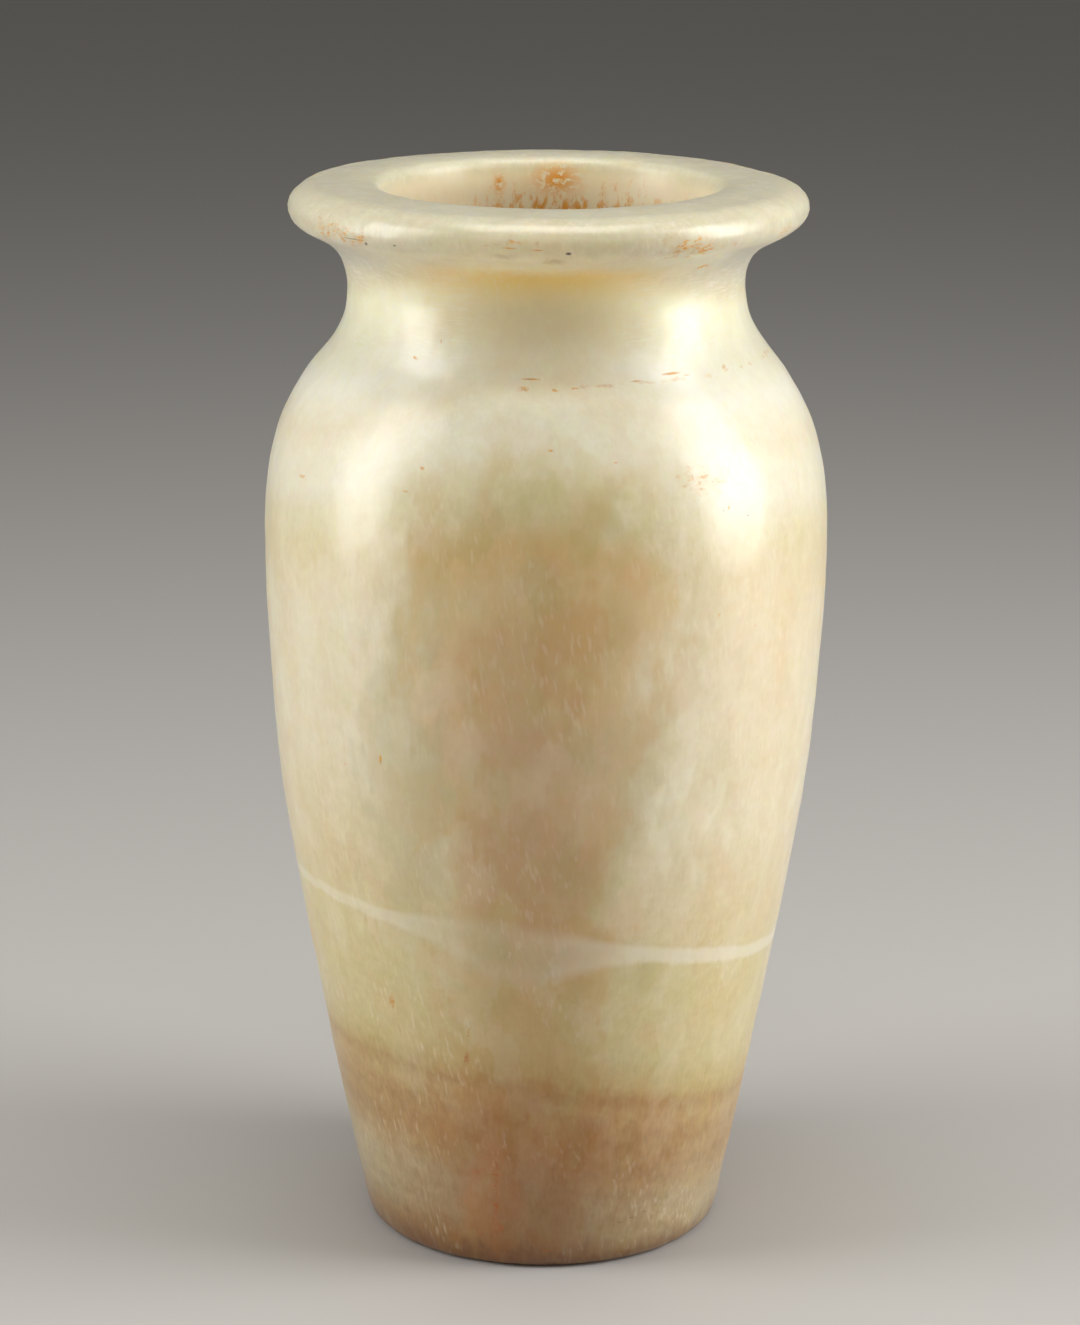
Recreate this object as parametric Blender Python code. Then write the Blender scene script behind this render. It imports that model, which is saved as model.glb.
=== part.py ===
# A tall jar of calcite, ground and drilled out of one block of stone. Its wall widens from a small
# flat foot to a high shoulder, draws in to a short neck, and spreads into a thick rounded rim.
# Metres, +Z up. The origin is the middle of the underside.

import math

import bmesh
import bpy
from mathutils import Vector
from mathutils.geometry import interpolate_bezier

# Overall sizes
JAR_HEIGHT = 0.300
FOOT_RADIUS = 0.0508
BELLY_RADIUS = 0.0787
BELLY_HEIGHT = 0.200
RIM_RADIUS = 0.0715

# The worn edge round the underside
FOOT_EDGE_WIDTH = 0.0035
FOOT_EDGE_HEIGHT = 0.0028

# Neck and rim, measured down from the top
BORE_RADIUS = 0.0465
NECK_WALL = 0.0085
WAIST_DROP = 0.026
RIM_DROP = 0.006
RIM_ROUNDING = 0.0085
MOUTH_ROUNDING = 0.0030

# The drilled hollow
BODY_WALL = 0.012
FLOOR_THICKNESS = 0.020
FLOOR_ROUNDING = 0.018

# Shapes of the three curved stretches, each as (share of its height, share of its change of radius)
WALL_CURVE = ((0.11, 0.165), (0.35, 0.484), (0.55, 0.739), (0.66, 0.857), (0.80, 0.942))
SHOULDER_CURVE = ((0.22, 0.028), (0.43, 0.158), (0.55, 0.322), (0.66, 0.540), (0.76, 0.789), (0.86, 0.951))
UNDERCUT_CURVE = ((0.30, 0.097), (0.50, 0.290), (0.60, 0.461), (0.70, 0.690), (0.80, 0.891))

# How finely the turned shape is cut into faces
SIDES = 64
EDGE_ROWS = 3
RIM_ROWS = 6
MOUTH_ROWS = 4
FLOOR_ROWS = 4

SHARP_ANGLE = math.radians(40)
MERGE_DISTANCE = 1e-6

CALCITE_COLOUR = (0.80, 0.72, 0.56, 1.0)
CALCITE_ROUGHNESS = 0.35

UP = Vector((0.0, 1.0))


def clear_scene():
    for old in list(bpy.data.objects):
        bpy.data.objects.remove(old)


def point(radius, height):
    """A point of the profile: its distance from the jar's axis and its height."""
    return Vector((radius, height))


def stretch(start, end, shape):
    """The points of a curved stretch from start to end, from the shares in its shape."""
    inner = [
        point(start.x + turn * (end.x - start.x), start.y + rise * (end.y - start.y))
        for rise, turn in shape
    ]
    return [start, *inner, end]


def smooth(points, first_way, last_way, rows=1):
    """A smooth curve through the points, given its directions at both ends and the rows in each span."""
    steps = [after - before for before, after in zip(points, points[1:])]
    ways = [first_way]
    for before, after in zip(steps, steps[1:]):
        ways.append((before / before.length_squared + after / after.length_squared).normalized())
    ways.append(last_way)
    curve = [points[0]]
    for index, step in enumerate(steps):
        handle = step.length / 3
        run = interpolate_bezier(
            points[index],
            points[index] + ways[index] * handle,
            points[index + 1] - ways[index + 1] * handle,
            points[index + 1],
            rows + 1,
        )
        curve += [Vector(p[:2]) for p in run[1:]]
    return curve


def quarter(centre, width, height, start, end, rows):
    """Part of an ellipse about the centre, from one angle to another in degrees."""
    angles = [math.radians(start + (end - start) * row / rows) for row in range(rows + 1)]
    return [centre + Vector((width * math.cos(a), height * math.sin(a))) for a in angles]


def wall_points():
    """The outer wall from the top of the foot's edge to the widest place."""
    return stretch(point(FOOT_RADIUS, FOOT_EDGE_HEIGHT), point(BELLY_RADIUS, BELLY_HEIGHT), WALL_CURVE)


def outer_profile():
    """From the middle of the underside, up the outside and over the rim to the mouth's inner edge."""
    waist = point(BORE_RADIUS + NECK_WALL, JAR_HEIGHT - WAIST_DROP)
    rim = point(RIM_RADIUS, JAR_HEIGHT - RIM_DROP)
    wall = wall_points()
    wall_way = (wall[1] - wall[0]).normalized()
    edge_centre = point(FOOT_RADIUS - FOOT_EDGE_WIDTH, FOOT_EDGE_HEIGHT)
    profile = [point(0.0, 0.0)]
    profile += quarter(edge_centre, FOOT_EDGE_WIDTH, FOOT_EDGE_HEIGHT, -90, 0, EDGE_ROWS)
    profile += smooth(wall, wall_way, UP, rows=2)[1:]
    profile += smooth(stretch(wall[-1], waist, SHOULDER_CURVE), UP, UP, rows=2)[1:]
    profile += smooth(stretch(waist, rim, UNDERCUT_CURVE), UP, UP)[1:]
    rounding = min(RIM_ROUNDING, (RIM_RADIUS - BORE_RADIUS) / 2)
    rim_centre = point(RIM_RADIUS - rounding, rim.y)
    profile += quarter(rim_centre, rounding, RIM_DROP, 0, 90, RIM_ROWS)[1:]
    mouth_centre = point(BORE_RADIUS + MOUTH_ROUNDING, JAR_HEIGHT - MOUTH_ROUNDING)
    profile += quarter(mouth_centre, MOUTH_ROUNDING, MOUTH_ROUNDING, 90, 180, MOUTH_ROWS)
    return profile


def hollow_profile():
    """Down the bore and the inside of the belly to the middle of the hollow's floor."""
    inward = Vector((BODY_WALL, 0.0))
    neck_end = point(BORE_RADIUS, JAR_HEIGHT - WAIST_DROP)
    belly = point(BELLY_RADIUS, BELLY_HEIGHT) - inward
    shoulder = smooth(stretch(belly, neck_end, SHOULDER_CURVE), UP, UP)
    wall = wall_points()
    wall_way = (wall[1] - wall[0]).normalized()
    inner_wall = [p - inward for p in smooth(wall, wall_way, UP, rows=2)]
    corner_height = FLOOR_THICKNESS + FLOOR_ROUNDING
    above = [p for p in inner_wall if p.y > corner_height]
    below = [p for p in inner_wall if p.y <= corner_height][-1]
    share = (corner_height - below.y) / (above[0].y - below.y)
    corner = below.lerp(above[0], share)
    floor_centre = corner - Vector((FLOOR_ROUNDING, 0.0))
    profile = shoulder[::-1] + above[::-1][1:]
    profile += quarter(floor_centre, FLOOR_ROUNDING, FLOOR_ROUNDING, 0, -90, FLOOR_ROWS)
    return profile + [point(0.0, FLOOR_THICKNESS)]


def turned_mesh(name, profile):
    """The solid that the profile sweeps out about the Z axis."""
    sculpt = bmesh.new()
    ring = [sculpt.verts.new((p.x, 0.0, p.y)) for p in profile]
    edges = [sculpt.edges.new(pair) for pair in zip(ring, ring[1:])]
    bmesh.ops.spin(
        sculpt,
        geom=ring + edges,
        cent=(0.0, 0.0, 0.0),
        axis=(0.0, 0.0, 1.0),
        angle=math.tau,
        steps=SIDES,
        use_merge=True,
    )
    bmesh.ops.remove_doubles(sculpt, verts=sculpt.verts, dist=MERGE_DISTANCE)
    bmesh.ops.recalc_face_normals(sculpt, faces=sculpt.faces)
    mesh = bpy.data.meshes.new(name)
    sculpt.to_mesh(mesh)
    sculpt.free()
    mesh.shade_smooth()
    mesh.set_sharp_from_angle(angle=SHARP_ANGLE)
    return mesh


def calcite():
    stone = bpy.data.materials.new("calcite")
    stone.use_nodes = True
    shader = stone.node_tree.nodes["Principled BSDF"]
    shader.inputs["Base Color"].default_value = CALCITE_COLOUR
    shader.inputs["Roughness"].default_value = CALCITE_ROUGHNESS
    shader.inputs["Metallic"].default_value = 0.0
    return stone


def build_jar():
    mesh = turned_mesh("jar", outer_profile() + hollow_profile())
    mesh.materials.append(calcite())
    jar = bpy.data.objects.new("jar", mesh)
    bpy.context.scene.collection.objects.link(jar)
    return jar


clear_scene()
build_jar()
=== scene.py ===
import math

import bpy
import numpy as np
from mathutils import Matrix, Vector, noise
from mathutils.geometry import interpolate_bezier


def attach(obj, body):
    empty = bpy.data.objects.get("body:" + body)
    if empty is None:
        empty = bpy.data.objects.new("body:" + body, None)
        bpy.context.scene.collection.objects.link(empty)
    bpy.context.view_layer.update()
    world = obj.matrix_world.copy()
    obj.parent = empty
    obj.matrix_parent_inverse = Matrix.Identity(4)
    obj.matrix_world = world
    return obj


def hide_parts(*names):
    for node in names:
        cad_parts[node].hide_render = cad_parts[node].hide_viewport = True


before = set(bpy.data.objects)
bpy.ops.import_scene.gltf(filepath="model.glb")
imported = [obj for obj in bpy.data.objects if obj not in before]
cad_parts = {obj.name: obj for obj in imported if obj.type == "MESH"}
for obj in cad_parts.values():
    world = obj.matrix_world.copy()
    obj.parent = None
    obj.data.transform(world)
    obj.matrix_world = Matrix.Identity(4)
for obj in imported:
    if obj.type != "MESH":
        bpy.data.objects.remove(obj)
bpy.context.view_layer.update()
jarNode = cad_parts["jar"]


# Studio: the camera's place is worked out from the photograph, and the two tall lights stand to the sides
studio = {
    "cameraPlace": (0.0, -1.078, 0.4563),
    "cameraDown": 15.204,       # degrees below level
    "cameraTurn": -0.067,       # degrees towards +X
    "cameraRoll": 0.42,
    "cameraLens": 107.08,       # mm, for a picture whose long side is sensorSide
    "sensorSide": 36.0,
    "lampTarget": (0.0, 0.0, 0.45),
    "lamps": {
        # name: place, width, height, power, colour
        "leftLamp": ((-1.10, -0.25, 0.66), 0.56, 1.30, 12.4, (1.0, 0.99, 0.97)),
        "rightLamp": ((1.06, -0.17, 0.66), 0.56, 1.30, 15.6, (1.0, 0.98, 0.96)),
        "topLamp": ((0.0, -0.10, 1.30), 0.8, 0.6, 6.5, (1.0, 0.97, 0.90)),
    },
    "airColour": (0.92, 0.88, 0.82),
    "airStrength": 0.15,
    "viewTransform": "Standard",
    "floorSize": 14.0,
    "floorColour": (0.50, 0.49, 0.48),
    "floorRoughness": 0.62,
}


def clearSelection():
    if bpy.context.mode != "OBJECT":
        bpy.ops.object.mode_set(mode="OBJECT")
    bpy.ops.object.select_all(action="DESELECT")


def standCamera():
    clearSelection()
    bpy.ops.object.camera_add(location=studio["cameraPlace"])
    camera = bpy.context.object
    camera.name = "studioCamera"
    camera.data.lens = studio["cameraLens"]
    camera.data.sensor_width = studio["sensorSide"]
    turn = Matrix.Rotation(-math.radians(studio["cameraTurn"]), 4, "Z")
    tilt = Matrix.Rotation(math.radians(90.0 - studio["cameraDown"]), 4, "X")
    roll = Matrix.Rotation(math.radians(studio["cameraRoll"]), 4, "Z")
    camera.matrix_world = Matrix.Translation(studio["cameraPlace"]) @ turn @ tilt @ roll
    bpy.context.scene.camera = camera


def hangLamps():
    target = Vector(studio["lampTarget"])
    for name, (place, width, height, power, colour) in studio["lamps"].items():
        clearSelection()
        bpy.ops.object.light_add(type="AREA", location=place)
        lamp = bpy.context.object
        lamp.name = name
        lamp.data.shape = "RECTANGLE"
        lamp.data.size = width
        lamp.data.size_y = height
        lamp.data.energy = power
        lamp.data.color = colour
        lamp.rotation_euler = (target - Vector(place)).to_track_quat("-Z", "Y").to_euler()
    world = bpy.data.worlds.new("studioAir")
    world.use_nodes = True
    air = world.node_tree.nodes["Background"]
    air.inputs["Color"].default_value = (*studio["airColour"], 1.0)
    air.inputs["Strength"].default_value = studio["airStrength"]
    bpy.context.scene.world = world
    bpy.context.scene.view_settings.view_transform = studio["viewTransform"]


def layFloor():
    clearSelection()
    bpy.ops.mesh.primitive_plane_add(size=studio["floorSize"], location=(0.0, 0.0, 0.0))
    floor = bpy.context.object
    floor.name = "studioFloor"
    paper = bpy.data.materials.new("palePaper")
    paper.use_nodes = True
    shader = paper.node_tree.nodes["Principled BSDF"]
    shader.inputs["Base Color"].default_value = (*studio["floorColour"], 1.0)
    shader.inputs["Roughness"].default_value = studio["floorRoughness"]
    floor.data.materials.append(paper)


standCamera()
hangLamps()
layFloor()
print("studio ready")


# The jar's mesh, in metres. Its outline is read from the solid, and its rings are closer outside than inside
jarMake = {
    "sides": 280,
    "outerStep": 0.00145,
    "hollowStep": 0.0033,
    "flatStep": 0.005,
    "flatSpan": 0.02,           # level spans longer than this are flats
    "mouthCorners": 8,          # corners after the top that are as fine as the outside
    "tolerance": 1e-5,
    "digits": 5,
    # how far the turned rings stand off the axis, towards +X, by height
    "lean": {0.0: 0.0004, 0.03: 0.0002, 0.08: 0.0, 0.245: 0.0001, 0.256: 0.0004, 0.268: 0.0,
             0.278: -0.0004, 0.288: -0.0006, 0.292: 0.0, 0.298: 0.0005},
    # swells, facets and ripples left by grinding: size across, size along the jar, depth, seed
    "grinding": (
        (0.055, 0.080, 0.00030, 3.1),
        (0.014, 0.022, 0.00020, 11.7),
        (0.0046, 0.0070, 0.00011, 27.3),
    ),
    # what is marked as the hollow: between these heights, and this far inside the outer wall
    "hollowBetween": (0.001, 0.2995),
    "thinnestWall": 0.004,
    # the moves start at the first height and are full at the second, so the underside stays flat
    "gripRise": (0.0005, 0.0045),
    "footGripRise": (0.0, 0.001),       # the same where the foot is worn
    # drill rings inside: spacing, depth, wobbles to a metre, their reach
    "drillRings": (0.0062, 0.00022, 14.0, 1.6),
    "drillRingFade": (0.282, 0.262),    # gone above the first height, full below the second
    # the worn foot: height, inner radius, size of the worn places, the noise where they start, depth
    "footWear": (0.006, 0.04, 0.0040, 0.15, 0.0009),
    "knockSpan": 3.0,           # a knock leaves nothing beyond this many of its halves
    # shallow knocks: angle from the front in degrees, height, half width, half height, depth
    "knocks": (
        (-46.0, 0.2955, 0.0040, 0.0012, 0.00035),
        (-38.5, 0.2945, 0.0016, 0.0018, 0.00045),
        (24.0, 0.2935, 0.0050, 0.0022, 0.00025),
        (33.0, 0.2920, 0.0035, 0.0020, 0.00025),
        (58.0, 0.2955, 0.0030, 0.0020, 0.00035),
        (120.0, 0.2950, 0.0060, 0.0025, 0.00060),
        (-141.0, 0.2925, 0.0045, 0.0022, 0.00050),
        (-20.0, 0.0030, 0.0045, 0.0022, 0.00060),
        (48.0, 0.0025, 0.0035, 0.0018, 0.00050),
        (155.0, 0.0030, 0.0065, 0.0030, 0.00090),
        (-98.0, 0.0028, 0.0050, 0.0024, 0.00070),
    ),
}


def solidOutline(node):
    # the solid is turned, so its edges in the +X half of the XZ plane are its outline
    places = [vertex.co for vertex in node.data.vertices]
    tolerance, digits = jarMake["tolerance"], jarMake["digits"]
    links = {}
    for edge in node.data.edges:
        ends = [places[index] for index in edge.vertices]
        if all(abs(end.y) < tolerance and end.x > -tolerance for end in ends):
            first, second = [(round(abs(end.x), digits), round(end.z, digits)) for end in ends]
            if first != second:
                links.setdefault(first, set()).add(second)
                links.setdefault(second, set()).add(first)
    lowest = min(height for radius, height in links)
    walk = [max(place for place in links if place[1] == lowest)]
    while True:
        onward = [place for place in links[walk[-1]] if place not in walk]
        if not onward:
            break
        walk.append(onward[0])
    # the flat middles of the underside and of the hollow's floor close it at the axis
    closed = [(0.0, lowest), *walk, (0.0, walk[-1][1])]
    return [Vector(place) for place in closed]


def ringPlaces(outline, top):
    # a smooth curve through the outline, cut into steps that suit each stretch
    spans = [after - before for before, after in zip(outline, outline[1:])]
    ways = [spans[0].normalized()]
    for before, after in zip(spans, spans[1:]):
        ways.append((before / before.length_squared + after / after.length_squared).normalized())
    ways.append(spans[-1].normalized())
    rings = [outline[0]]
    for index, span in enumerate(spans):
        fine = index < top + jarMake["mouthCorners"]
        step = jarMake["outerStep"] if fine else jarMake["hollowStep"]
        if abs(span.y) < jarMake["tolerance"] and span.length > jarMake["flatSpan"]:
            step = jarMake["flatStep"]
        count = max(1, round(span.length / step))
        handle = span.length / 3.0
        run = interpolate_bezier(
            outline[index], outline[index] + ways[index] * handle,
            outline[index + 1] - ways[index + 1] * handle, outline[index + 1], count + 1)
        rings += [Vector(place[:2]) for place in run[1:]]
    return rings


def turnJar(rings):
    clearSelection()
    # a small triangle, merged to the point on the axis that the outline is drawn from
    bpy.ops.mesh.primitive_circle_add(vertices=3, radius=0.01, location=(0.0, 0.0, 0.0))
    jar = bpy.context.object
    jar.name = "calciteJar"
    bpy.ops.object.mode_set(mode="EDIT")
    bpy.ops.mesh.select_all(action="SELECT")
    bpy.ops.mesh.merge(type="CENTER")
    for before, after in zip(rings, rings[1:]):
        move = (after.x - before.x, 0.0, after.y - before.y)
        bpy.ops.mesh.extrude_region_move(TRANSFORM_OT_translate={"value": move})
    bpy.ops.mesh.select_all(action="SELECT")
    bpy.ops.mesh.spin(
        steps=jarMake["sides"], angle=math.tau, center=(0.0, 0.0, 0.0), axis=(0.0, 0.0, 1.0))
    bpy.ops.mesh.select_all(action="SELECT")
    bpy.ops.mesh.remove_doubles(threshold=jarMake["tolerance"])
    bpy.ops.mesh.normals_make_consistent(inside=False)
    bpy.ops.object.mode_set(mode="OBJECT")
    return jar


def stretchedNoise(place, across, along, seed):
    return noise.noise(Vector((place.x / across + seed, place.y / across - seed, place.z / along)))


def ramped(value, low, high):
    # 0 at low, 1 at high
    return min(1.0, max(0.0, (value - low) / (high - low)))


def knockDepth(place, radius):
    turn = math.degrees(math.atan2(place.x, -place.y))
    total = 0.0
    for angle, height, halfWidth, halfHeight, depth in jarMake["knocks"]:
        gap = (turn - angle + 180.0) % 360.0 - 180.0
        across = math.radians(gap) * radius / halfWidth
        along = (place.z - height) / halfHeight
        reach = math.hypot(across, along)
        if reach < jarMake["knockSpan"]:
            total += depth * math.exp(-reach * reach)
    return total


def weatherJar(jar):
    # small moves along the normals: grinding, drill rings, a worn foot and knocks
    mesh = jar.data
    leanHeights = list(jarMake["lean"])
    leanMoves = list(jarMake["lean"].values())
    lowest, highest = jarMake["hollowBetween"]
    spacing, ringDepth, wobbles, wobbleReach = jarMake["drillRings"]
    wearHeight, wearRadius, wearSize, wearStart, wearDepth = jarMake["footWear"]
    hollow = np.zeros(len(mesh.vertices))
    normals = [vertex.normal.copy() for vertex in mesh.vertices]
    for vertex, normal in zip(mesh.vertices, normals):
        place = vertex.co.copy()
        radius = math.hypot(place.x, place.y)
        wall = np.interp(place.z, outerHeights, outerRadii) - jarMake["thinnestWall"]
        inside = lowest < place.z < highest and radius < wall
        hollow[vertex.index] = 1.0 if inside else 0.0
        grip = ramped(place.z, *jarMake["gripRise"])
        push = 0.0
        for across, along, depth, seed in jarMake["grinding"]:
            push += stretchedNoise(place, across, along, seed) * depth
        if inside:
            wobble = noise.noise(place * wobbles) * wobbleReach
            depth = ringDepth * ramped(place.z, *jarMake["drillRingFade"])
            push += math.sin(place.z / spacing * math.tau + wobble) * depth
        else:
            push -= knockDepth(place, radius)
        if place.z < wearHeight and radius > wearRadius:
            wear = max(0.0, noise.noise(place / wearSize) - wearStart)
            push -= wear * wearDepth * (1.0 - place.z / wearHeight)
            grip = ramped(place.z, *jarMake["footGripRise"])
        place += normal * push * grip
        place.x += np.interp(place.z, leanHeights, leanMoves)
        place.z = max(0.0, place.z)
        vertex.co = place
    mask = mesh.attributes.new("hollow", "FLOAT", "POINT")
    mask.data.foreach_set("value", hollow)
    mesh.update()


outline = solidOutline(jarNode)
top = max(range(len(outline)), key=lambda index: outline[index].y)
outerHeights = [corner.y for corner in outline[1:top + 1]]
outerRadii = [corner.x for corner in outline[1:top + 1]]
jar = turnJar(ringPlaces(outline, top))
print("jar turned,", len(jar.data.polygons), "faces")
weatherJar(jar)
clearSelection()
jar.select_set(True)
bpy.context.view_layer.objects.active = jar
bpy.ops.object.shade_smooth()
print("jar weathered")


# Node helpers: an input is a plain value or another node's output

def put(tree, kind, inputs=None, **settings):
    node = tree.nodes.new(kind)
    for name, value in settings.items():
        setattr(node, name, value)
    for key, value in (inputs or {}).items():
        if isinstance(value, bpy.types.NodeSocket):
            tree.links.new(value, node.inputs[key])
        else:
            node.inputs[key].default_value = value
    return node


def calc(tree, operation, first, second=0.0, third=0.0):
    node = put(tree, "ShaderNodeMath", {0: first, 1: second, 2: third}, operation=operation)
    return node.outputs[0]


def product(tree, first, *others):
    for other in others:
        first = calc(tree, "MULTIPLY", first, other)
    return first


def vectorCalc(tree, operation, first, second=(0.0, 0.0, 0.0), third=(0.0, 0.0, 0.0), output="Vector"):
    node = put(tree, "ShaderNodeVectorMath", {0: first, 1: second, 2: third}, operation=operation)
    return node.outputs[output]


def rise(tree, value, low, high, start=0.0, end=1.0):
    # goes smoothly from start at low to end at high
    node = put(tree, "ShaderNodeMapRange", {
        "Value": value, "From Min": low, "From Max": high, "To Min": start, "To Max": end,
    }, interpolation_type="SMOOTHSTEP")
    return node.outputs["Result"]


def fade(tree, value, name):
    # one of the stone's named steps
    return rise(tree, value, *stone["fades"][name])


def mixColour(tree, factor, first, second, blend="MIX"):
    # a mix node's colour inputs are its seventh and eighth
    node = put(tree, "ShaderNodeMix", {0: factor, 6: first, 7: second}, data_type="RGBA", blend_type=blend)
    return node.outputs[2]


def grain(tree, place, size, detail=2.0, roughness=0.5, shift=(0.0, 0.0, 0.0)):
    # noise from 0 to 1; size is its blobs' size along each axis in mm
    stretch = tuple(1.0 / side for side in size)
    mapped = vectorCalc(tree, "MULTIPLY_ADD", place, stretch, shift)
    node = put(tree, "ShaderNodeTexNoise", {
        "Vector": mapped, "Scale": 1.0, "Detail": detail, "Roughness": roughness})
    return node.outputs["Fac"]


def namedGrain(tree, place, name):
    # one of the stone's named noises
    return grain(tree, place, *stone["noises"][name])


def colour(red, green, blue):
    # a colour as it looks on screen, from 0 to 255
    def linear(value):
        share = value / 255.0
        return share / 12.92 if share <= 0.04045 else ((share + 0.055) / 1.055) ** 2.4
    return (linear(red), linear(green), linear(blue), 1.0)


def ramp(tree, value, stops, low, high):
    scaled = rise(tree, value, low, high)
    scaled.node.interpolation_type = "LINEAR"
    node = put(tree, "ShaderNodeValToRGB", {"Fac": scaled})
    points = node.color_ramp.elements
    while len(points) < len(stops):
        points.new(0.5)
    for point, (place, shade) in zip(points, stops):
        point.position = (place - low) / (high - low)
        point.color = shade
    return node.outputs["Color"]


# Soft light adds nothing where a tint is a middle grey
evenGrey = (0.5, 0.5, 0.5, 1.0)
oliveTint = (0.48, 0.52, 0.42, 1.0)
pinkTint = (0.53, 0.49, 0.50, 1.0)

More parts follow.
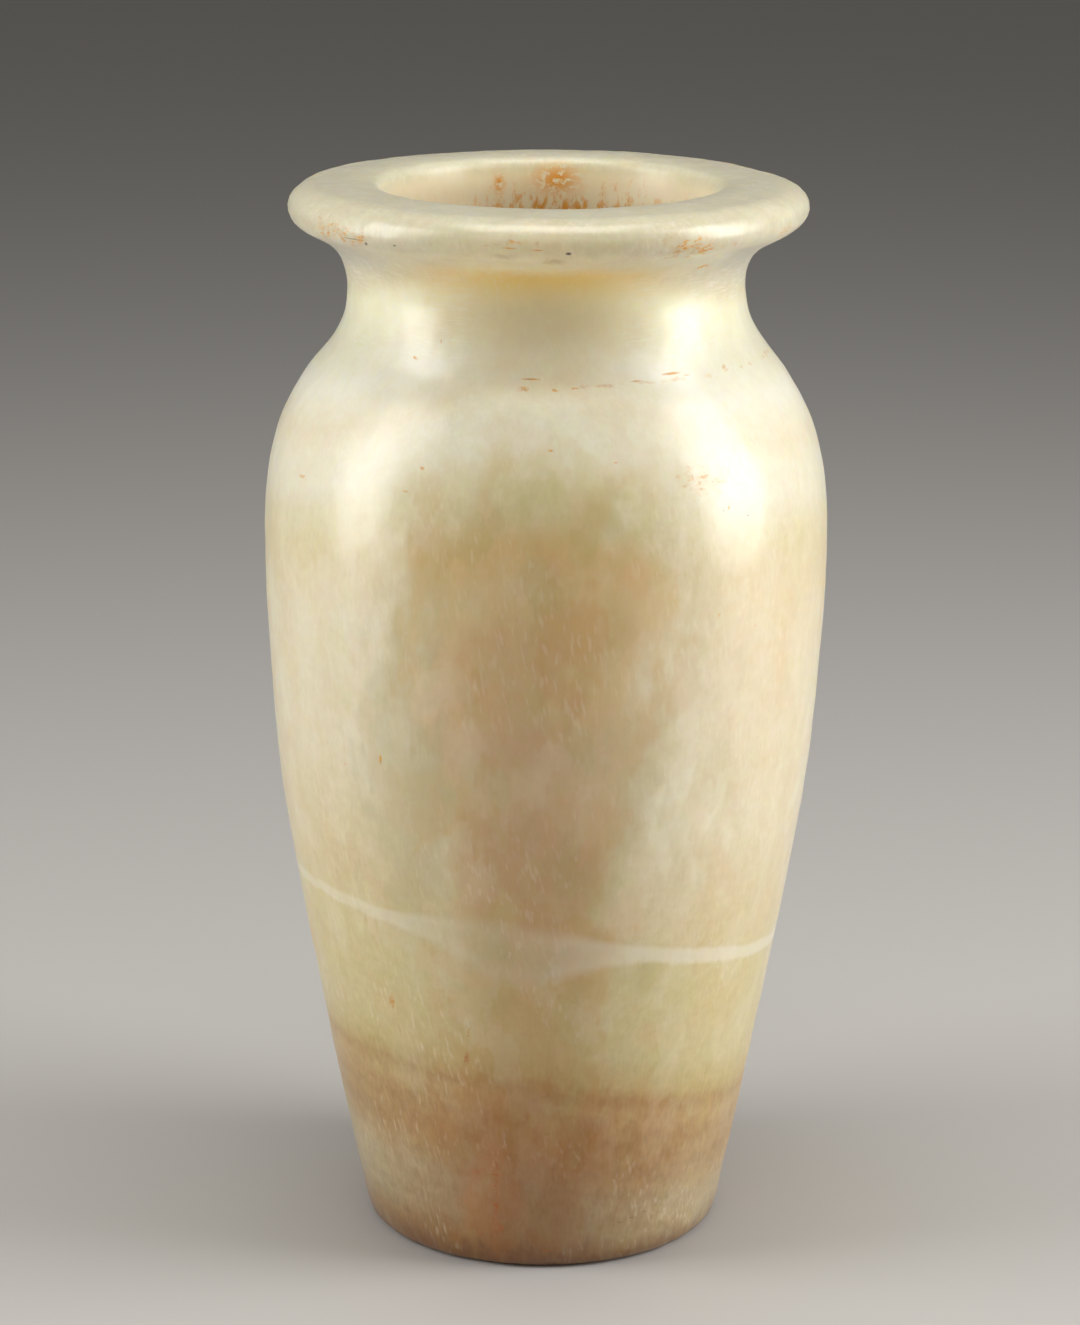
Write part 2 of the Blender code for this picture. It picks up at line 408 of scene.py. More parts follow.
# The stone. Heights and sizes are in mm, angles in degrees from the front
stone = {
    # height in the block's layers, and the colour there
    "layerColours": (
        # the lowest rings are darker: the stone's brown, partly painted shade at the foot
        (-6.0, colour(128, 94, 56)),
        (5.0, colour(148, 118, 78)),
        (13.0, colour(174, 156, 122)),
        (25.0, colour(180, 162, 128)),
        (31.0, colour(178, 152, 112)),
        (38.0, colour(172, 140, 94)),
        (46.0, colour(176, 144, 96)),
        (53.0, colour(188, 160, 112)),
        (57.0, colour(178, 147, 96)),
        (61.5, colour(196, 177, 124)),
        (70.0, colour(207, 194, 148)),
        (90.0, colour(212, 199, 152)),
        (103.0, colour(214, 201, 156)),
        (112.0, colour(218, 202, 162)),
        (150.0, colour(228, 218, 190)),
        (204.0, colour(229, 219, 190)),
        (219.0, colour(226, 213, 178)),
        (227.0, colour(224, 213, 177)),
        (234.0, colour(227, 219, 188)),
        (242.0, colour(234, 228, 208)),
        (250.0, colour(234, 227, 206)),
        (256.0, colour(232, 222, 198)),
        # the neck's rings from 266 to 287.5 are partly painted light: lighter and whiter for the neck's
        # highlights and against the shade under the lip
        (266.0, colour(244, 238, 222)),
        (276.0, colour(240, 233, 208)),
        (284.0, colour(252, 244, 214)),
        (287.5, colour(250, 242, 212)),
        (292.0, colour(226, 219, 190)),
        (300.0, colour(205, 202, 182)),
    ),
    "lowestLayer": -6.0,
    "highestLayer": 300.0,
    "dip": (-0.155, -0.0014),           # the low layers fall to the right: slope, and its change
    # the high layers' crest: place, reach and drop; upright it reaches past the whole jar
    "archPlace": (-5.0, -77.0, 0.0),
    "archReach": (33.9408, 53.0325, 1e6),
    "archDrop": 22.0,
    "layerWander": 2.4,
    # strata, fibres and mottling: the noise's low and high values, and the depth of the shading, whose
    # dark and light have a tint each
    "strataShade": (0.32, 0.68, 0.15),
    "grainShade": (0.3, 0.7, 0.14),
    "darkTint": (1.0, 0.98, 0.92),
    "lightTint": (1.0, 1.0, 0.97),
    "strataStretch": 0.05,
    "flameTints": ((0.3, oliveTint), (0.5, evenGrey), (0.7, pinkTint)),
    "flameShare": 0.50,
    "mottleShare": 0.45,
    # how far the places wander that the heart and the veils are drawn on: size, detail, roughness, reach
    "bend": ((9.0, 9.0, 17.0), 2.0, 0.62, (34.0, 34.0, 46.0)),
    "veinHeight": 103.5,
    "veinColour": colour(240, 236, 222),
    "veinSpread": 1.6,
    # the lens on the vein: place, reach, how far it sags and swells, and how much fainter it is
    "lensPlace": (-8.0, -70.0, 101.0),
    "lensReach": (15.0, 40.0, 60.0),
    "lensSag": -4.4,
    "lensSwell": 8.0,
    "lensFaintness": -0.20,
    "lensHollow": -0.45,
    # the tan heart at the front, partly the stone's tan core and partly painted shade where the side lamps
    # leave the front middle dim: colour higher up, colour lower down
    "shadedHeartColours": (colour(218, 168, 52), colour(204, 146, 56)),
    "shadedHeartCore": 0.45,
    "shadedHeartStrength": 0.46,
    "shadedHeartToneWander": 120.0,
    # veils of other stone at the front, and two brown ones that are partly painted shade: colour, centre,
    # reach, crispness from 0 to 1, strength
    "veils": (
        (colour(170, 164, 112), (-38.0, -66.0, 148.0), (9.0, 22.0, 46.0), 0.6, 0.30),
        (colour(182, 170, 108), (25.0, -70.0, 150.0), (8.0, 22.0, 22.0), 0.6, 0.24),
        (colour(246, 240, 216), (37.0, -64.0, 138.0), (9.0, 22.0, 10.0), 0.5, 0.44),
        (colour(196, 148, 108), (-7.0, -76.0, 172.0), (13.0, 22.0, 20.0), 0.7, 0.24),
        (colour(190, 140, 98), (-4.0, -70.0, 126.0), (17.0, 22.0, 15.0), 0.7, 0.26),
        (colour(202, 144, 58), (8.0, -76.0, 190.0), (9.0, 22.0, 16.0), 0.7, 0.30),
        (colour(236, 194, 154), (60.0, -50.0, 178.0), (15.0, 22.0, 24.0), 0.2, 0.15),
        (colour(170, 160, 118), (-6.0, -66.0, 100.0), (16.0, 22.0, 6.0), 0.3, 0.20),
        (colour(206, 196, 128), (2.0, -76.0, 229.0), (28.0, 22.0, 6.0), 0.2, 0.30),
        # the brown band and the foot at the front middle: the stone's brown, darkened further as painted
        # shade
        (colour(166, 98, 10), (2.0, -56.0, 41.0), (24.0, 22.0, 14.0), 0.0, 0.52),
        (colour(146, 84, 8), (-4.0, -50.0, 12.0), (22.0, 22.0, 18.0), 0.0, 0.60),
        (colour(200, 108, 34), (-13.0, -52.0, 26.0), (4.0, 20.0, 16.0), 0.3, 0.20),
    ),
    # where a veil's fade starts and ends: at crispness 0, and the change up to crispness 1
    "veilStart": (2.4, -1.3),
    "veilEnd": (0.0, 1.05),
    # the neck's shade: colour, top, softness of its top edge, bottom, strength
    "neckShades": (
        (colour(238, 212, 150), 281.0, 10.0, 246.0, 0.50),
        (colour(246, 212, 104), 287.5, 4.5, 271.0, 0.80),
    ),
    "neckShadeMiddle": -2.0,
    "neckShadeUnevenness": 3.0,
    # clouds: colour, size of the drifts, size of the edges, seed, strength, strength at the sides
    "clouds": (
        (colour(182, 174, 106), (15.0, 15.0, 26.0), (8.0, 8.0, 13.0), 3.0, 0.24, 0.07),
        (colour(216, 170, 116), (13.0, 13.0, 22.0), (7.0, 7.0, 11.0), 17.0, 0.22, 0.08),
        (colour(244, 238, 220), (15.0, 15.0, 24.0), (6.0, 6.0, 10.0), 31.0, 0.14, 0.16),
        (colour(208, 198, 142), (6.0, 6.0, 10.0), (3.0, 3.0, 5.0), 59.0, 0.20, 0.06),
    ),
    # noises of a drift and of its edge: detail, roughness, and the shares of the seed in the shift
    "driftNoise": (1.0, 0.5, (1.0, 0.7, 0.3)),
    "edgeNoise": (2.0, 0.62, (0.4, 1.0, 0.6)),
    # painted light in the hollow: the colour it is painted towards below the mouth
    "innerPaintedLight": colour(238, 228, 196),
    # crystal strokes, painted pale as painted glints: colour, lean in degrees, strength; and scratches round
    # the neck, also painted pale as glints: height, strength
    "glintColour": colour(246, 240, 222),
    "glintLean": 9.0,
    "glintStrength": 0.20,
    "scratchHeight": 270.0,
    "scratchStrength": 0.42,
    "rustColour": colour(222, 158, 22),
    "darkRust": colour(158, 98, 14),
    "footRust": colour(184, 104, 36),
    # the colour of the foot's dirt and painted shade
    "footColour": colour(112, 68, 34),
    "footUnevenness": {"fibre": -9.0, "flame": -16.0},
    "roughness": 0.16,
    "dulling": {"fibre": 0.18, "cloud": 0.10, "mottle": 0.12, "rust": 0.2, "inside": 0.2},
    "ior": 1.49,
    "translucency": 0.7,                # share, reach of each colour, and the reach in metres
    "translucencyTint": (1.0, 0.70, 0.30),
    "translucencyReach": 0.018,
    "coat": (0.60, 0.26),
    # noises: size along each axis in mm, detail, roughness, shift
    "noises": {
        "fibre": ((0.8, 0.8, 5.0), 2.0, 0.55),
        "flame": ((4.0, 4.0, 18.0), 2.0, 0.6, (4.0, 9.0, 2.0)),
        "cloud": ((24.0, 24.0, 34.0), 2.0, 0.55, (7.0, 3.0, 5.0)),
        "mottle": ((3.2, 3.2, 3.2), 2.0, 0.65, (1.0, 6.0, 2.0)),
        "speckle": ((0.9, 0.9, 0.9), 1.0, 0.6),
        "slowWander": ((60.0, 60.0, 60.0), 1.0),
        "quickWander": ((11.0, 11.0, 14.0), 2.0),
        "strata": ((1.0, 1.0, 3.4), 2.0, 0.6),
        "crystals": ((1.2, 1.2, 5.0), 1.0, 0.5, (3.0, 5.0, 7.0)),
        "scratches": ((6.0, 6.0, 0.5), 1.0, 0.6, (0.0, 5.0, 3.0)),
        "flecks": ((2.8, 2.8, 0.8), 2.0, 0.7, (2.0, 2.0, 8.0)),
        "dashes": ((9.0, 9.0, 30.0), 2.0, 0.7, (3.3, 1.2, 0.0)),
        "drips": ((2.4, 2.4, 6.0), 3.0, 0.68, (5.0, 0.0, 1.0)),
        "blots": ((2.4, 2.4, 1.6), 3.0, 0.7, (1.0, 4.0, 2.0)),
    },
    # smooth steps: where they start and end, and their two values where these aren't 0 and 1
    "fades": {
        "archShare": (120.0, 215.0),
        "farWander": (-20.0, 60.0, 3.0, 27.0),
        "strata": (75.0, 48.0, 0.08, 0.26),
        "fibre": (75.0, 50.0, 0.26, 0.60),
        "shadedHeartMiddle": (110.0, 190.0, -5.0, -3.0),
        "shadedHeartHalfWidth": (110.0, 195.0, 21.0, 35.0),
        "shadedHeartEdge": (1.10, 0.85),
        "shadedHeartGlow": (1.5, 0.2, 0.0, 0.55),
        "shadedHeartTop": (227.0, 215.0),
        "shadedHeartFoot": (20.0, 112.0, 0.5, 1.0),
        "shadedHeartFront": (-25.0, -55.0),
        "shadedHeartTone": (150.0, 190.0),
        "tanShape": (0.50, 0.70),
        "tanBehind": (-50.0, 10.0, 0.2, 0.8),
        "tanTop": (232.0, 205.0),
        "driftMiddle": (60.0, 25.0),
        "driftFoot": (20.0, 100.0, 0.3, 1.0),
        "driftTop": (225.0, 245.0, 1.0, 0.35),
        "driftShape": (0.44, 0.64),
        "driftEdge": (0.49, 0.55),
        "neckMiddle": (46.0, 6.0),
        "neckFront": (-20.0, -45.0),
        "veinWidth": (-10.0, 40.0, 0.9, 1.6),
        "veinEdge": (1.30, 0.50),
        "veinStrength": (-40.0, 10.0, 0.34, 0.46),
        "lensHollow": (0.75, 0.1),
        "crystalPlaces": (0.42, 0.60),
        "crystalShape": (0.54, 0.74),
        "scratchBand": (16.0, 8.0),
        "scratchSides": (14.0, 26.0),
        "scratchShape": (0.54, 0.66),
        "fleckShape": (0.50, 0.60),
        "lineEdge": (0.6, 0.15),
        "lineRight": (-12.0, 0.0),
        "lineBehind": (0.0, 20.0),
        "dashShape": (0.50, 0.62),
        "dripEnds": (291.0, 282.0),
        "dripFar": (0.0, 38.0),
        "dripMiddle": (34.0, 14.0, 0.25, 1.0),
        "dripShape": (0.44, 0.56, 0.0, 0.95),
        "blotShape": (0.42, 0.50),
        "mouthPaintedLight": (299.5, 294.0, 0.0, 0.7),
        "footDirtAndShade": (-3.0, -12.0, 0.0, 0.6),
        "darkRust": (0.50, 0.68, 0.0, 0.8),
        "footRust": (95.0, 60.0),
    },
}

# Stains and specks, in degrees from the front and mm: angle, height, half width, half height,
# raggedness, strength. Each raggedness costs one more mask, so there are three: 0.5 for crisp marks,
# 1.3 and 2.6 for ragged ones
stains = {
    "specks": (
        (-35.0, 153.0, 0.5, 1.7, 0.5, 1.0),
        (-45.0, 149.0, 0.4, 0.8, 0.5, 0.6),
        (-39.0, 80.0, 1.5, 2.6, 1.3, 0.6),
        (-19.0, 66.5, 1.0, 2.3, 1.3, 0.9),
        (-18.0, 75.0, 0.4, 2.6, 1.3, 0.6),
        (-26.0, 234.0, 0.9, 0.6, 0.5, 0.8),
        (-29.0, 227.7, 1.3, 0.45, 0.5, 0.7),
        (1.0, 240.0, 1.0, 0.5, 0.5, 0.8),
        (14.5, 236.8, 0.8, 0.4, 0.5, 0.6),
        (-59.0, 225.5, 2.2, 0.7, 1.3, 0.7),
        (-13.0, 20.0, 0.9, 1.2, 0.5, 0.9),
        (-13.0, 26.0, 1.1, 17.0, 2.6, 0.25),
        (-12.0, 13.0, 1.5, 2.0, 0.5, 0.5),
        (2.0, 6.0, 3.0, 0.9, 0.5, 0.5),
        (39.0, 222.5, 0.5, 1.0, 0.5, 0.8),
        (46.0, 189.0, 0.4, 0.5, 0.5, 0.7),
        (36.0, 194.0, 0.8, 1.1, 1.3, 0.4),
        (-8.0, 293.0, 2.6, 0.30, 0.5, 0.8),
        (-2.0, 292.6, 2.2, 0.28, 0.5, 0.8),
        (-13.0, 293.4, 1.6, 0.26, 0.5, 0.5),
        (-4.0, 256.6, 3.4, 0.35, 0.5, 0.9),
        (-5.5, 254.2, 1.9, 0.7, 1.3, 0.8),
        (2.0, 254.0, 1.3, 0.45, 1.3, 0.7),
        (7.0, 254.5, 2.4, 0.35, 1.3, 0.55),
        (23.0, 255.6, 2.2, 0.35, 0.5, 0.8),
        (33.5, 256.6, 3.6, 0.40, 0.5, 1.0),
        (38.0, 255.8, 2.0, 0.35, 0.5, 0.6),
        (52.0, 256.0, 1.3, 0.9, 0.5, 0.7),
        (-30.0, 264.5, 0.4, 1.0, 0.5, 0.7),
        (-37.0, 259.5, 1.2, 0.6, 1.3, 0.7),
        (148.0, 172.0, 1.0, 2.2, 0.5, 0.8),
        (-152.0, 88.0, 1.4, 2.6, 1.3, 0.7),
        (104.0, 231.0, 2.0, 0.8, 1.3, 0.7),
    ),
    "clusters": (
        (33.0, 230.0, 11.0, 6.0, 1.3, 0.55),
        (-52.0, 292.5, 17.0, 3.6, 2.6, 0.70),
        (33.0, 291.5, 13.0, 4.0, 2.6, 0.70),
        (64.0, 292.0, 6.0, 2.4, 1.3, 0.75),
        (-7.0, 294.5, 8.0, 1.2, 1.3, 0.6),
        (45.0, 284.0, 5.0, 0.9, 1.3, 0.8),
        (160.0, 294.0, 16.0, 4.5, 1.3, 0.6),
        (-120.0, 236.0, 14.0, 7.0, 1.3, 0.5),
    ),
    "soot": (
        (4.4, 291.7, 1.0, 0.5, 0.5, 1.0),
        (-47.0, 291.6, 5.5, 0.28, 0.5, 0.60),
        (-42.8, 290.8, 0.9, 0.7, 0.5, 0.80),
        (-34.5, 291.5, 0.8, 0.45, 0.5, 0.65),
        (25.0, 13.2, 1.7, 0.30, 0.5, 0.45),
        (29.0, 14.1, 2.3, 0.30, 0.5, 0.55),
        (33.5, 15.2, 2.1, 0.30, 0.5, 0.45),
        (44.0, 219.5, 0.5, 0.4, 0.5, 0.7),
        (37.5, 222.0, 0.4, 0.4, 0.5, 0.6),
        (-117.0, 293.0, 4.0, 0.30, 0.5, 0.5),
    ),
    # greenish stains
    "moss": (
        (1.5, 289.0, 3.4, 1.3, 1.3, 0.9),
        (-9.0, 290.5, 5.0, 1.2, 1.3, 0.7),
        (31.0, 290.0, 7.0, 2.4, 1.3, 0.7),
        (-58.0, 290.5, 6.0, 1.6, 1.3, 0.7),
    ),
    "mossStrength": 0.34,
    "mossColour": colour(150, 138, 62),
    "sootColour": colour(52, 42, 30),
    "strength": 0.95,
    "start": 1.15,              # where a mark's edge starts and where it is full, as shares of its size
    "full": 0.35,
    "fleckShare": (0.85, 0.15),
    # the broken line round the shoulder: height, unevenness, strength
    "lineHeight": 255.0,
    "lineUnevenness": 2.4,
    "lineStrength": 0.35,
    # the rust in the mouth: how far drips reach, their middle, and the blotches' places and reach
    "dripLength": -34.0,
    "dripMiddle": 7.0,
    "blotches": (
        ((2.5, 46.0, 294.0), (4.2, 14.0, 2.8)),
        ((-14.0, 44.0, 293.0), (0.9, 14.0, 2.0)),
    ),
}


def scaledFrom(tree, place, centre, reach):
    # the way from the centre, counted in reaches
    return vectorCalc(tree, "MULTIPLY_ADD", place, tuple(1.0 / side for side in reach),
                      tuple(-middle / side for middle, side in zip(centre, reach)))


def hill(tree, place, centre, reach):
    # soft round one place of the stone, 1 in its middle
    scaled = scaledFrom(tree, place, centre, reach)
    share = vectorCalc(tree, "DOT_PRODUCT", scaled, scaled, output="Value")
    return calc(tree, "EXPONENT", calc(tree, "MULTIPLY", share, -0.5))


def spots(tree, field, rows, unevenness):
    # all the stains of one kind on the unrolled wall: a weaker stain starts further from full
    start, full = stains["start"], stains["full"]
    total = None
    for ragged in sorted({row[4] for row in rows}):
        nearest = None
        for angle, height, halfWide, halfTall, rowRagged, strength in rows:
            if rowRagged != ragged:
                continue
            radius = 1000.0 * float(np.interp(height / 1000.0, outerHeights, outerRadii))
            across = math.radians(angle) * radius
            # the share of a smooth step at which it has the stain's strength
            share = 0.5 - math.sin(math.asin(1.0 - 2.0 * strength) / 3.0)
            offset = start - (start - full) * share
            scaled = vectorCalc(
                tree, "MULTIPLY_ADD", field["unrolled"], (1.0 / halfWide, 0.0, 1.0 / halfTall),
                (-across / halfWide, offset, -height / halfTall))
            reach = vectorCalc(tree, "LENGTH", scaled, output="Value")
            nearest = reach if nearest is None else calc(tree, "MINIMUM", nearest, reach)
        mask = rise(tree, calc(tree, "MULTIPLY_ADD", unevenness, ragged, nearest), start, full)
        total = mask if total is None else calc(tree, "MAXIMUM", total, mask)
    return total


def centred(tree, value):
    return calc(tree, "SUBTRACT", value, 0.5)


def distanceFrom(tree, value, middle=0.0):
    return calc(tree, "ABSOLUTE", calc(tree, "SUBTRACT", value, middle))


def stoneFields(tree):
    # the places in mm, and the noises that the rest is made from
    objectPlace = tree.nodes.new("ShaderNodeTexCoord").outputs["Object"]
    place = vectorCalc(tree, "MULTIPLY", objectPlace, (1000.0, 1000.0, 1000.0))
    across, away, height = put(tree, "ShaderNodeSeparateXYZ", {0: place}).outputs
    turn = calc(tree, "ARCTAN2", across, calc(tree, "MULTIPLY", away, -1.0))
    level = vectorCalc(tree, "MULTIPLY", place, (1.0, 1.0, 0.0))
    radius = vectorCalc(tree, "LENGTH", level, output="Value")
    unrolled = put(tree, "ShaderNodeCombineXYZ", {"X": calc(tree, "MULTIPLY", turn, radius), "Z": height})
    inside = put(tree, "ShaderNodeAttribute", attribute_name="hollow").outputs["Fac"]
    field = {
        "place": place,
        "unrolled": unrolled.outputs[0],
        "across": across,
        "away": away,
        "height": height,
        "inside": inside,
        "outside": calc(tree, "SUBTRACT", 1.0, inside),
    }
    for name in ("fibre", "flame", "cloud", "mottle", "speckle"):
        field[name] = namedGrain(tree, place, name)
    field["unevenness"] = centred(tree, field["mottle"])
    size, detail, roughness, reach = stone["bend"]
    bend = put(tree, "ShaderNodeTexNoise", {
        "Vector": vectorCalc(tree, "MULTIPLY", place, tuple(1.0 / side for side in size)),
        "Scale": 1.0, "Detail": detail, "Roughness": roughness})
    shift = vectorCalc(tree, "SUBTRACT", bend.outputs["Color"], (0.5, 0.5, 0.5))
    field["warped"] = vectorCalc(tree, "ADD", place, vectorCalc(tree, "MULTIPLY", shift, reach))
    field["layer"] = layerHeight(tree, field)
    return field


def layerHeight(tree, field):
    # height within the block's layers: they dip to the right low down and arch over higher up
    across, place = field["across"], field["place"]
    slope, change = stone["dip"]
    dip = calc(tree, "MULTIPLY", across, calc(tree, "MULTIPLY_ADD", across, change, slope))
    flat = hill(tree, place, stone["archPlace"], stone["archReach"])
    arch = calc(tree, "MULTIPLY", calc(tree, "SUBTRACT", flat, 1.0), stone["archDrop"])
    share = fade(tree, field["height"], "archShare")
    warp = calc(tree, "ADD", calc(tree, "MULTIPLY", dip, calc(tree, "SUBTRACT", 1.0, share)),
                calc(tree, "MULTIPLY", arch, share))
    # the far side's layers wander further
    slow = centred(tree, namedGrain(tree, place, "slowWander"))
    quick = centred(tree, namedGrain(tree, place, "quickWander"))
    wander = calc(tree, "MULTIPLY", slow, fade(tree, field["away"], "farWander"))
    waver = calc(tree, "MULTIPLY_ADD", quick, stone["layerWander"], wander)
    return calc(tree, "ADD", calc(tree, "SUBTRACT", field["height"], warp), waver)


def softLight(tree, share, base, value, low, high, depth):
    # darkens the colour where the value is low, lightens it where it is high, and warms both a little
    dark = (*((0.5 - depth) * part for part in stone["darkTint"]), 1.0)
    light = (*((0.5 + depth) * part for part in stone["lightTint"]), 1.0)
    tint = ramp(tree, value, ((low, dark), (high, light)), low, high)
    return mixColour(tree, share, base, tint, "SOFT_LIGHT")


def layeredColour(tree, field):
    layer = field["layer"]
    base = ramp(tree, layer, stone["layerColours"], stone["lowestLayer"], stone["highestLayer"])
    # thin strata, strongest in the brown band
    stretch = stone["strataStretch"]
    layerPlace = put(tree, "ShaderNodeCombineXYZ", {
        "X": calc(tree, "MULTIPLY", field["across"], stretch),
        "Y": calc(tree, "MULTIPLY", field["away"], stretch),
        "Z": layer})
    strata = namedGrain(tree, layerPlace.outputs[0], "strata")
    base = softLight(tree, fade(tree, layer, "strata"), base, strata, *stone["strataShade"])
    # fine fibres, and columns of olive and pinkish stone
    base = softLight(tree, fade(tree, layer, "fibre"), base, field["fibre"], *stone["grainShade"])
    stops = stone["flameTints"]
    tint = ramp(tree, field["flame"], stops, stops[0][0], stops[-1][0])
    base = mixColour(tree, stone["flameShare"], base, tint, "SOFT_LIGHT")
    return softLight(tree, stone["mottleShare"], base, field["mottle"], *stone["grainShade"])


def addShadedHeart(tree, field, base):
    # the tan heart of the stone that shows at the front, with flame-like edges, partly painted shade of the
    # dim front middle, and tan clouds elsewhere
    away, height, layer = field["away"], field["height"], field["layer"]
    across = put(tree, "ShaderNodeSeparateXYZ", {0: field["warped"]}).outputs["X"]
    distance = distanceFrom(tree, across, fade(tree, height, "shadedHeartMiddle"))
    share = calc(tree, "DIVIDE", distance, fade(tree, height, "shadedHeartHalfWidth"))
    shadedHeart = calc(tree, "MULTIPLY_ADD", fade(tree, share, "shadedHeartEdge"), stone["shadedHeartCore"],
                 fade(tree, share, "shadedHeartGlow"))
    shadedHeart = product(tree, shadedHeart, fade(tree, layer, "shadedHeartTop"), fade(tree, layer, "shadedHeartFoot"),
                    fade(tree, away, "shadedHeartFront"))
    clouds = product(tree, fade(tree, field["cloud"], "tanShape"), fade(tree, away, "tanBehind"),
                     fade(tree, layer, "tanTop"))
    shadedHeart = calc(tree, "MULTIPLY", calc(tree, "MAXIMUM", shadedHeart, clouds), stone["shadedHeartStrength"])
    higher = calc(tree, "MULTIPLY_ADD", centred(tree, field["cloud"]), stone["shadedHeartToneWander"], height)
    upper, lower = stone["shadedHeartColours"]
    return mixColour(tree, shadedHeart, base, mixColour(tree, fade(tree, higher, "shadedHeartTone"), lower, upper))


def addVeils(tree, field, base):
    # veils of other stone, each round one place; two of them are partly painted shade
    for tone, centre, reach, crispness, strength in stone["veils"]:
        scaled = scaledFrom(tree, field["warped"], centre, reach)
        distance = vectorCalc(tree, "LENGTH", scaled, output="Value")
        start, end = [soft + change * crispness for soft, change in (stone["veilStart"], stone["veilEnd"])]
        base = mixColour(tree, rise(tree, distance, start, end, 0.0, strength), base, tone)
    return base


def addClouds(tree, field, base):
    # drifting clouds, each fading out on one side and ending more sharply on another
    place, layer = field["place"], field["layer"]
    middle = fade(tree, distanceFrom(tree, field["across"]), "driftMiddle")
    where = product(tree, fade(tree, layer, "driftFoot"), fade(tree, layer, "driftTop"))
    for tone, driftSize, edgeSize, seed, strength, sideStrength in stone["clouds"]:
        drift, edge = [
            grain(tree, place, size, detail, roughness, tuple(seed * part for part in parts))
            for size, (detail, roughness, parts) in (
                (driftSize, stone["driftNoise"]), (edgeSize, stone["edgeNoise"]))]
        edge = calc(tree, "MULTIPLY_ADD", drift, 0.5, calc(tree, "MULTIPLY", edge, 0.5))
        most = calc(tree, "MULTIPLY_ADD", middle, strength - sideStrength, sideStrength)
        mask = product(tree, fade(tree, drift, "driftShape"), fade(tree, edge, "driftEdge"), most, where)
        base = mixColour(tree, mask, base, tone)
    return base


def addNeckShade(tree, field, base):
    # the shade under the lip: a tan one over the neck, then a yellower one right below the lip's edge
    distance = distanceFrom(tree, field["across"], stone["neckShadeMiddle"])
    front = product(tree, fade(tree, distance, "neckMiddle"), fade(tree, field["away"], "neckFront"))
    uneven = calc(tree, "MULTIPLY_ADD", field["unevenness"], stone["neckShadeUnevenness"], field["height"])
    for tone, top, soft, bottom, strength in stone["neckShades"]:
        above = rise(tree, uneven, top, top - soft)
        below = rise(tree, uneven, bottom, top - soft)
        base = mixColour(tree, product(tree, above, below, front, strength), base, tone)
    return base


def addVein(tree, field, base):
    # the pale vein, which swells to a faint lens left of the middle
    lens = hill(tree, field["place"], stone["lensPlace"], stone["lensReach"])
    middle = calc(tree, "MULTIPLY_ADD", lens, stone["lensSag"], stone["veinHeight"])
    gap = calc(tree, "SUBTRACT", field["layer"], middle)
    gap = calc(tree, "ABSOLUTE", calc(tree, "ADD", field["unevenness"], gap))
    across = field["across"]
    thin = calc(tree, "MULTIPLY_ADD", field["cloud"], stone["veinSpread"], fade(tree, across, "veinWidth"))
    share = calc(tree, "DIVIDE", gap, calc(tree, "MULTIPLY_ADD", lens, stone["lensSwell"], thin))
    strength = calc(tree, "MULTIPLY_ADD", lens, stone["lensFaintness"], fade(tree, across, "veinStrength"))
    hollowed = calc(tree, "MULTIPLY", fade(tree, share, "lensHollow"), lens)
    hollowed = calc(tree, "MULTIPLY_ADD", hollowed, stone["lensHollow"], 1.0)
    vein = product(tree, fade(tree, share, "veinEdge"), strength, hollowed)
    return mixColour(tree, vein, base, stone["veinColour"])


def addGlints(tree, field, base):
    # short pale crystal strokes that lean a little: the crystals, painted pale as painted glints
    lean = put(tree, "ShaderNodeVectorRotate", {
        "Vector": field["place"], "Axis": (0.0, 1.0, 0.0), "Angle": math.radians(stone["glintLean"])})
    crystals = fade(tree, namedGrain(tree, lean.outputs[0], "crystals"), "crystalShape")
    strokes = product(tree, crystals, fade(tree, field["cloud"], "crystalPlaces"), stone["glintStrength"])
    base = mixColour(tree, strokes, base, stone["glintColour"])
    # and fine level scratches round the neck, but not at its middle, painted pale as painted glints where
    # the side lamps' highlights fall
    neck = fade(tree, distanceFrom(tree, field["height"], stone["scratchHeight"]), "scratchBand")
    sides = fade(tree, distanceFrom(tree, field["across"]), "scratchSides")
    scratches = fade(tree, namedGrain(tree, field["place"], "scratches"), "scratchShape")
    hatch = product(tree, scratches, neck, sides, stone["scratchStrength"])
    return mixColour(tree, hatch, base, stone["glintColour"])


def outerRust(tree, field):
    # specks, clusters of flecks, and a broken line round the shoulder
    place = field["place"]
    specks = spots(tree, field, stains["specks"], centred(tree, field["speckle"]))
    most, least = stains["fleckShare"]
    flecks = fade(tree, namedGrain(tree, place, "flecks"), "fleckShape")
    flecks = calc(tree, "MULTIPLY_ADD", flecks, most, least)
    clusters = calc(tree, "MULTIPLY", spots(tree, field, stains["clusters"], field["unevenness"]), flecks)
    middle = calc(tree, "MULTIPLY_ADD", field["unevenness"], stains["lineUnevenness"], stains["lineHeight"])
    line = fade(tree, distanceFrom(tree, field["height"], middle), "lineEdge")
    dashes = fade(tree, namedGrain(tree, place, "dashes"), "dashShape")
    right, behind = fade(tree, field["across"], "lineRight"), fade(tree, field["away"], "lineBehind")
    line = product(tree, line, dashes, stains["lineStrength"], calc(tree, "MAXIMUM", right, behind))
    outer = calc(tree, "MAXIMUM", calc(tree, "MAXIMUM", specks, clusters), line)
    return calc(tree, "MULTIPLY", outer, field["outside"])


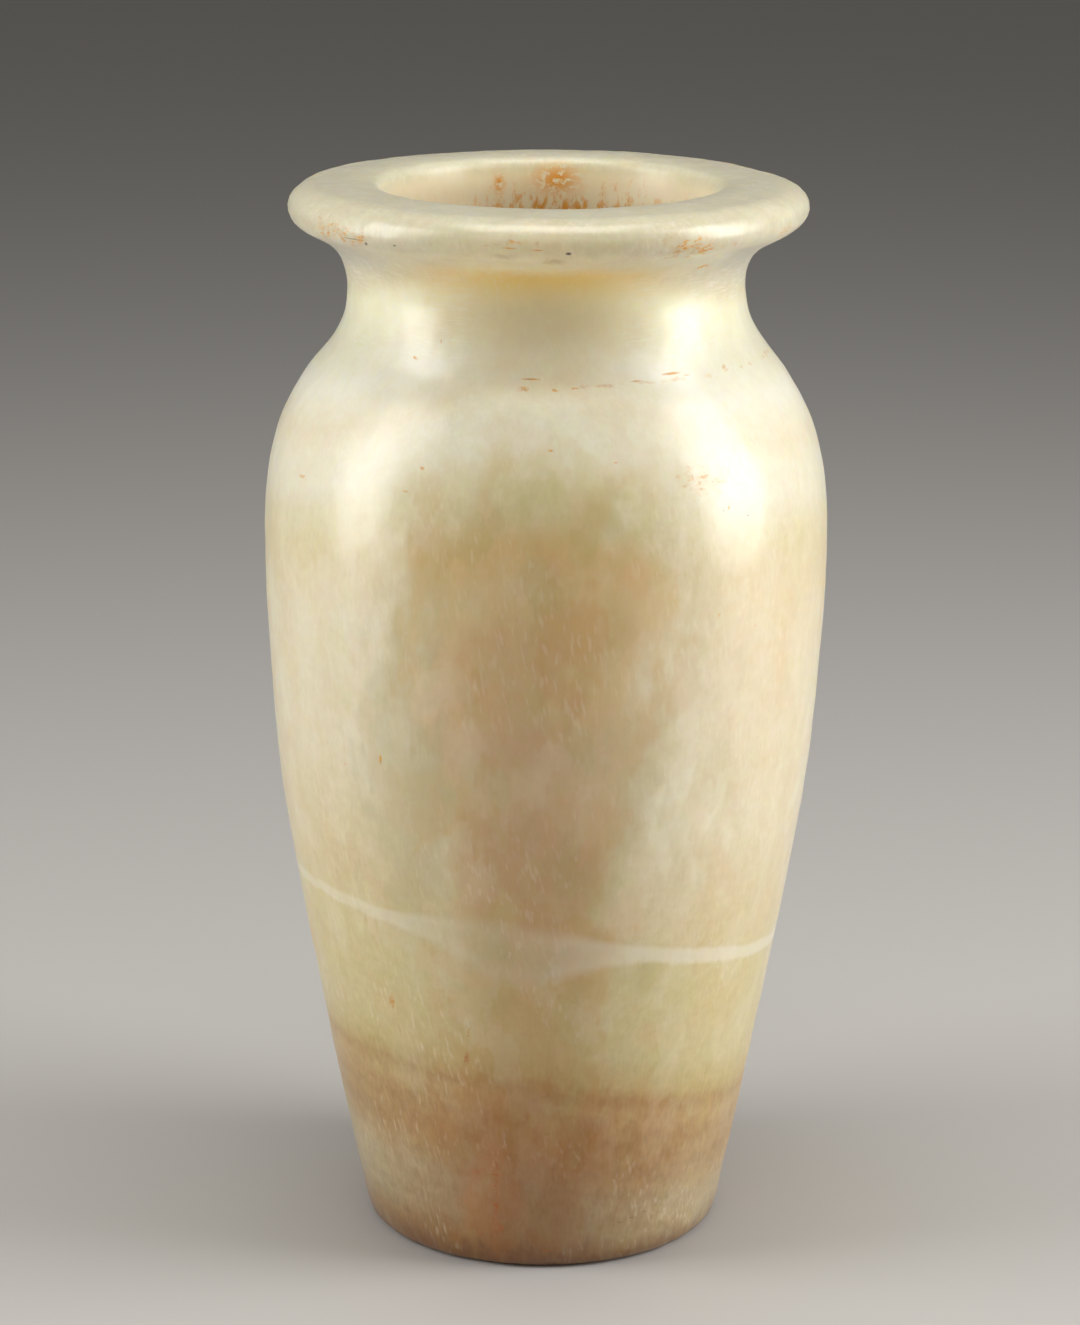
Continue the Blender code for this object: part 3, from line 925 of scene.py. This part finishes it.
def innerRust(tree, field):
    # inside the mouth the rust hangs in drips on the far wall, with one strong blotch and a small one
    place = field["place"]
    drips = namedGrain(tree, place, "drips")
    reach = calc(tree, "MULTIPLY_ADD", centred(tree, drips), stains["dripLength"], field["height"])
    distance = distanceFrom(tree, field["across"], stains["dripMiddle"])
    wet = product(tree, fade(tree, reach, "dripEnds"), fade(tree, field["away"], "dripFar"),
                  fade(tree, distance, "dripMiddle"), fade(tree, drips, "dripShape"))
    large, small = [hill(tree, place, *row) for row in stains["blotches"]]
    blots = fade(tree, namedGrain(tree, place, "blots"), "blotShape")
    blotch = calc(tree, "MULTIPLY", calc(tree, "MAXIMUM", large, small), blots)
    return calc(tree, "MULTIPLY", calc(tree, "MAXIMUM", wet, blotch), field["inside"])


def addFootDirtAndShade(tree, field, base):
    # the foot darker towards the bottom in uneven patches: partly dirt, partly painted shade near the floor
    low = field["height"]
    for name, unevenness in stone["footUnevenness"].items():
        low = calc(tree, "MULTIPLY_ADD", field[name], unevenness, low)
    foot = calc(tree, "MULTIPLY", fade(tree, low, "footDirtAndShade"), field["outside"])
    return mixColour(tree, foot, base, stone["footColour"])


def addStains(tree, field, base):
    # greenish stains first, then the rust, which is redder on the foot, and the dark pits
    moss = product(tree, spots(tree, field, stains["moss"], field["unevenness"]), stains["mossStrength"],
                   field["outside"])
    base = mixColour(tree, moss, base, stains["mossColour"])
    darker = calc(tree, "MULTIPLY", fade(tree, field["speckle"], "darkRust"), field["outside"])
    rustShade = mixColour(tree, darker, stone["rustColour"], stone["darkRust"])
    rustShade = mixColour(tree, fade(tree, field["height"], "footRust"), rustShade, stone["footRust"])
    base = mixColour(tree, calc(tree, "MULTIPLY", field["rust"], stains["strength"]), base, rustShade)
    soot = calc(tree, "MULTIPLY", spots(tree, field, stains["soot"], field["unevenness"]), field["outside"])
    return mixColour(tree, soot, base, stains["sootColour"])


def addPolish(tree, field, shader):
    # duller along the fibres, in the stains and inside
    dullness = stone["roughness"]
    for name, amount in stone["dulling"].items():
        dullness = calc(tree, "MULTIPLY_ADD", field[name], amount, dullness)
    tree.links.new(dullness, shader.inputs["Roughness"])
    shader.inputs["IOR"].default_value = stone["ior"]
    shader.inputs["Subsurface Weight"].default_value = stone["translucency"]
    shader.inputs["Subsurface Radius"].default_value = stone["translucencyTint"]
    shader.inputs["Subsurface Scale"].default_value = stone["translucencyReach"]
    weight, roughness = stone["coat"]
    shader.inputs["Coat Weight"].default_value = weight
    shader.inputs["Coat Roughness"].default_value = roughness


def calciteStone():
    material = bpy.data.materials.new("calciteStone")
    material.use_nodes = True
    tree = material.node_tree
    shader = tree.nodes["Principled BSDF"]
    field = stoneFields(tree)
    base = layeredColour(tree, field)
    for addLook in (addShadedHeart, addVeils, addClouds, addNeckShade, addVein, addGlints):
        base = addLook(tree, field, base)
    # the hollow below the mouth painted paler: painted light that comes through the thin wall
    innerLight = calc(tree, "MULTIPLY", field["inside"], fade(tree, field["height"], "mouthPaintedLight"))
    base = mixColour(tree, innerLight, base, stone["innerPaintedLight"])
    field["rust"] = calc(tree, "MAXIMUM", outerRust(tree, field), innerRust(tree, field))
    base = addStains(tree, field, addFootDirtAndShade(tree, field, base))
    tree.links.new(base, shader.inputs["Base Color"])
    addPolish(tree, field, shader)
    return material


jar.data.materials.append(calciteStone())
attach(jar, "root")
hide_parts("jar")
print("stone finished")
